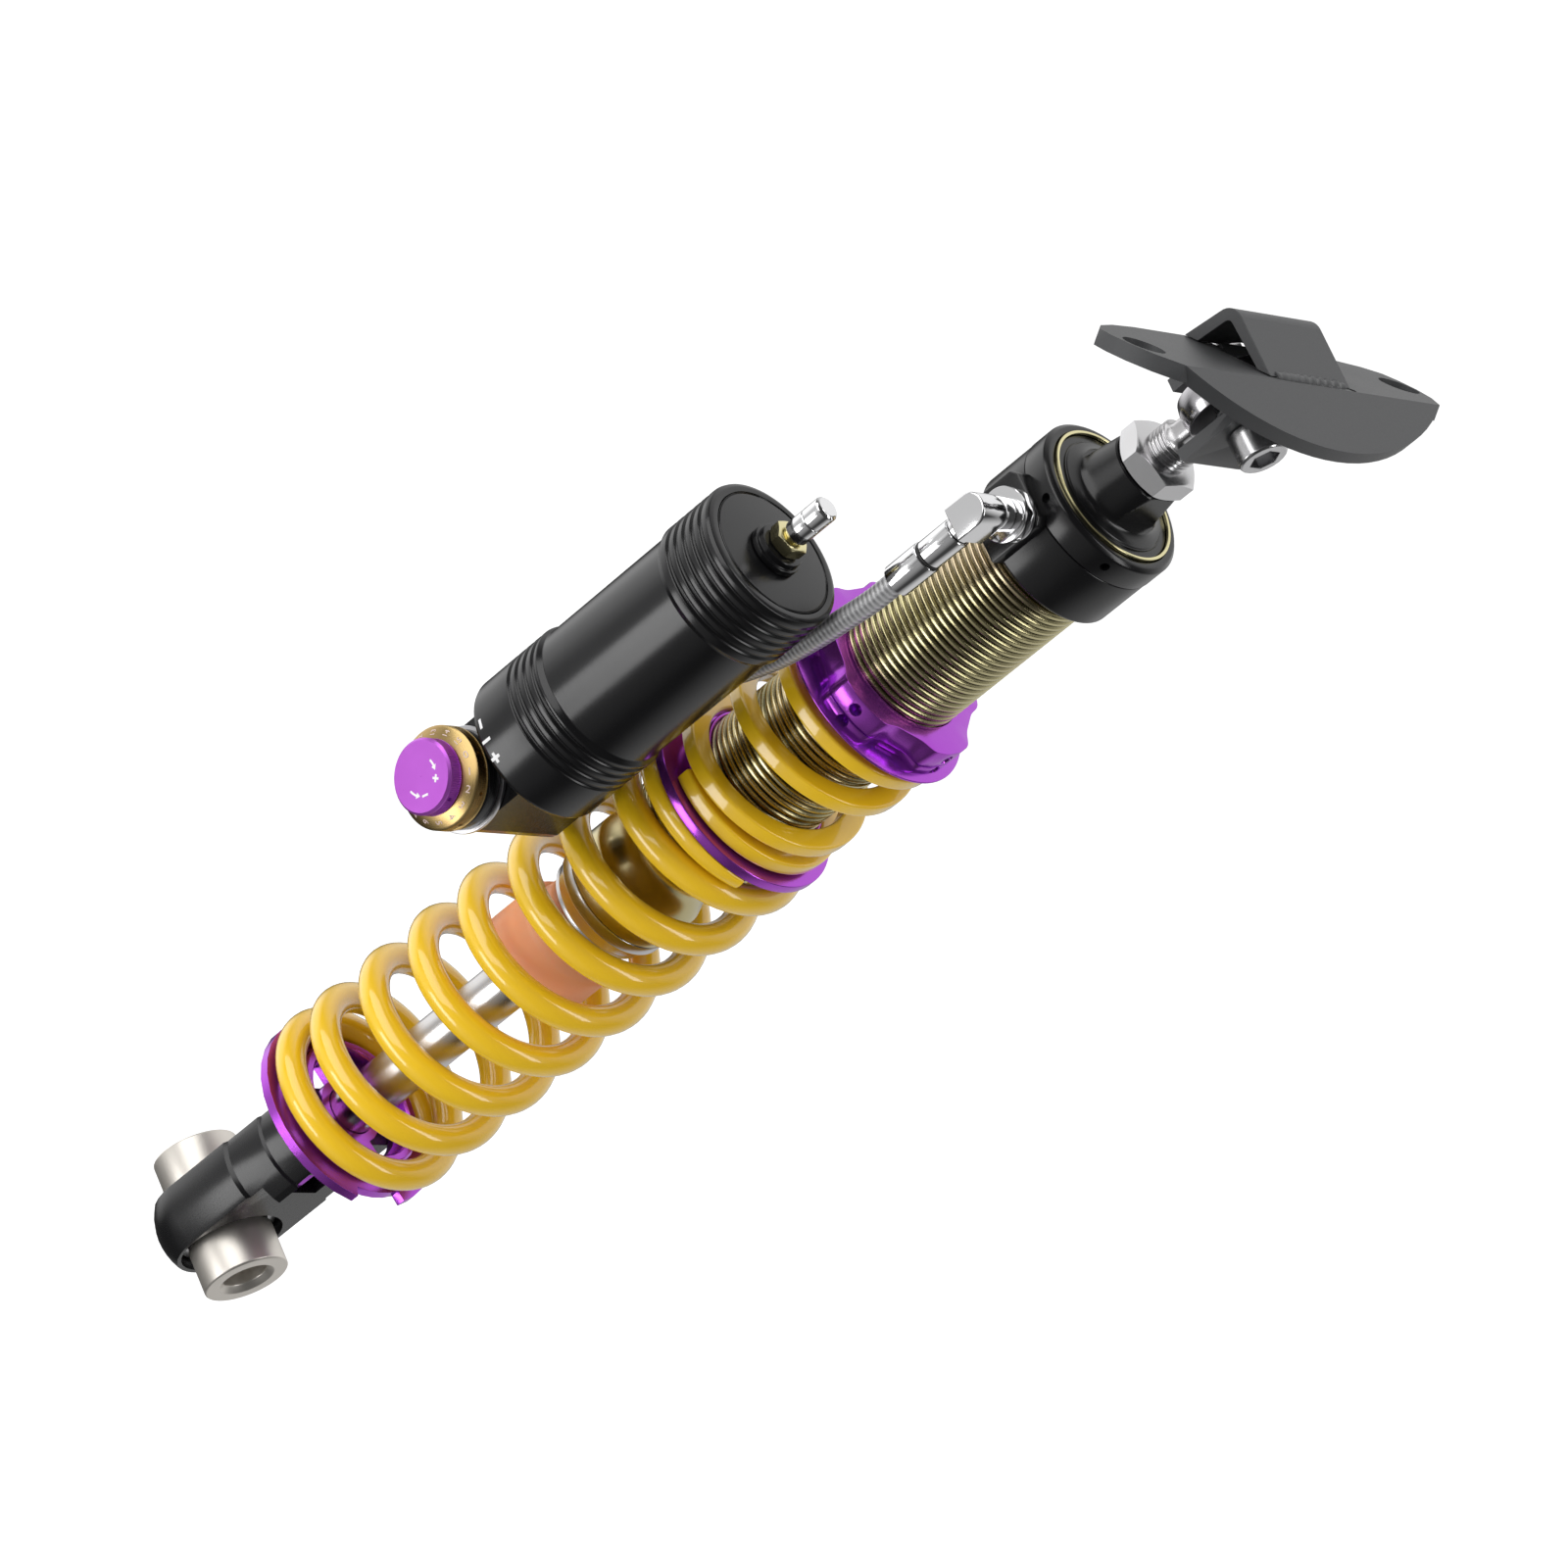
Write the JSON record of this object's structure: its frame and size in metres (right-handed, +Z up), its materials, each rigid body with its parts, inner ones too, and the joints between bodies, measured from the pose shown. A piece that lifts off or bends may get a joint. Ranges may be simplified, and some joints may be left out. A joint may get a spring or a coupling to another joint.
{
  "type": "coilover suspension strut",
  "caption": "Adjustable coilover damper with main and tender springs, ball joint mounts and a remote reservoir on a braided hose.",
  "frame": {"origin": "centre of the upper ball joint, where the pivot bolt crosses the damper's axis", "axes": "+Z runs up the damper's axis towards the top bracket, Y runs along both mounting bolts, X runs across them; the remote reservoir lies towards -X"},
  "size_m": [0.2069, 0.1004, 0.6257],
  "materials": {
    "bracket": "satin powder coat",
    "black": "black anodised, satin",
    "purple": "bright purple anodised",
    "spring": "gloss yellow powder coat",
    "tube": "threaded, warm plated",
    "bronze": "bright",
    "zinc": "bright zinc",
    "chrome": "polished",
    "nickel": "nickel plated",
    "braid": "steel wire braid",
    "foam": "soft polyurethane",
    "rubber": "matt",
    "aluminium": "turned",
    "gold": "gold anodised, knurled"
  },
  "bodies": {
    "bracket": {"top_bracket": "bracket", "bracket_channel": "bracket", "clevis_ear_front": "bracket", "clevis_ear_rear": "bracket", "pivot_bolt": "zinc", "pivot_nut": "zinc"},
    "upper_ball": {"rod_end_ball": "chrome", "ball_spacer_front": "zinc", "ball_spacer_rear": "zinc"},
    "damper": {"rod_end": "zinc", "jam_nut": "zinc", "head_core": "black", "head_ring": "bronze", "head_cap": "black", "head_body": "black", "body_tube": "tube", "gland": "zinc", "wiper_ring": "rubber", "bump_stop": "foam", "tender_spring": "spring", "hose_seat": "chrome", "hose_elbow": "chrome", "hose_sleeve_top": "chrome", "hose": "braid", "hose_sleeve_low": "chrome", "reservoir_body": "black", "reservoir_cap": "black", "valve_boss": "black", "gas_valve": "bronze", "valve_block": "black", "adjuster_ring": "zinc", "adjuster_neck": "black"},
    "valve_cap": {"valve_cap": "chrome"},
    "floating_piston": {"floating_piston": "aluminium"},
    "dial": {"high_speed_dial": "gold"},
    "knob": {"low_speed_knob": "purple"},
    "top_perch": {"top_perch": "purple"},
    "lock_ring": {"lock_ring": "purple"},
    "divider": {"spring_divider": "purple"},
    "rod": {"piston_rod": "chrome", "piston": "zinc", "piston_nut": "zinc", "lower_perch": "purple", "main_spring": "spring", "lower_eye": "black", "eye_race": "zinc"},
    "rebound_wheel": {"rebound_wheel": "purple"},
    "lower_ball": {"lower_ball": "chrome"},
    "bushes": {"bush_front": "nickel", "bush_rear": "nickel"}
  },
  "joints": [
    {"name": "top_swing", "type": "hinge", "parent": "bracket", "child": "upper_ball", "pos_m": [0, 0, 0], "axis": [0, 1, 0], "range_deg": [-20, 20]},
    {"name": "top_tilt", "type": "hinge", "parent": "upper_ball", "child": "damper", "pos_m": [0, 0, 0], "axis": [1, 0, 0], "range_deg": [-5, 5]},
    {"name": "rod_slide", "type": "slide", "parent": "damper", "child": "rod", "axis": [0, 0, 1], "range_m": [0, 0.09], "deforming": ["main_spring", "tender_spring"]},
    {"name": "divider_slide", "type": "slide", "parent": "damper", "child": "divider", "axis": [0, 0, 1], "range_m": [0, 0.0396]},
    {"name": "floating_piston_slide", "type": "slide", "parent": "damper", "child": "floating_piston", "axis": [0, 0, 1], "range_m": [0, 0.0134]},
    {"name": "perch_height", "type": "slide", "parent": "damper", "child": "top_perch", "axis": [0, 0, 1], "range_m": [0, 0.025]},
    {"name": "lock_ring_slide", "type": "slide", "parent": "damper", "child": "lock_ring", "axis": [0, 0, 1], "range_m": [0, 0.025]},
    {"name": "low_speed_turn", "type": "hinge", "parent": "damper", "child": "knob", "pos_m": [-0.1158, 0.026, -0.301], "axis": [-1, 0, 0], "range_deg": [-540, 540]},
    {"name": "high_speed_turn", "type": "hinge", "parent": "damper", "child": "dial", "pos_m": [-0.1091, 0.026, -0.301], "axis": [-1, 0, 0], "range_deg": [-90, 270]},
    {"name": "valve_cap_turn", "type": "hinge", "parent": "damper", "child": "valve_cap", "pos_m": [-0.082, 0.026, -0.1354], "axis": [0, 0, 1], "continuous": true},
    {"name": "rebound_turn", "type": "hinge", "parent": "rod", "child": "rebound_wheel", "pos_m": [0, 0, -0.5227], "axis": [0, 0, 1], "range_deg": [-540, 540]},
    {"name": "lower_tilt", "type": "hinge", "parent": "rod", "child": "lower_ball", "pos_m": [0, 0, -0.568], "axis": [1, 0, 0], "range_deg": [-6, 6]},
    {"name": "lower_swing", "type": "hinge", "parent": "lower_ball", "child": "bushes", "pos_m": [0, 0, -0.568], "axis": [0, 1, 0], "range_deg": [-25, 25]}
  ],
  "couplings": [
    {"joint": "divider_slide", "follows": "rod_slide", "ratio": 0.44},
    {"joint": "floating_piston_slide", "follows": "rod_slide", "ratio": 0.148},
    {"joint": "lock_ring_slide", "follows": "perch_height", "ratio": 1}
  ]
}
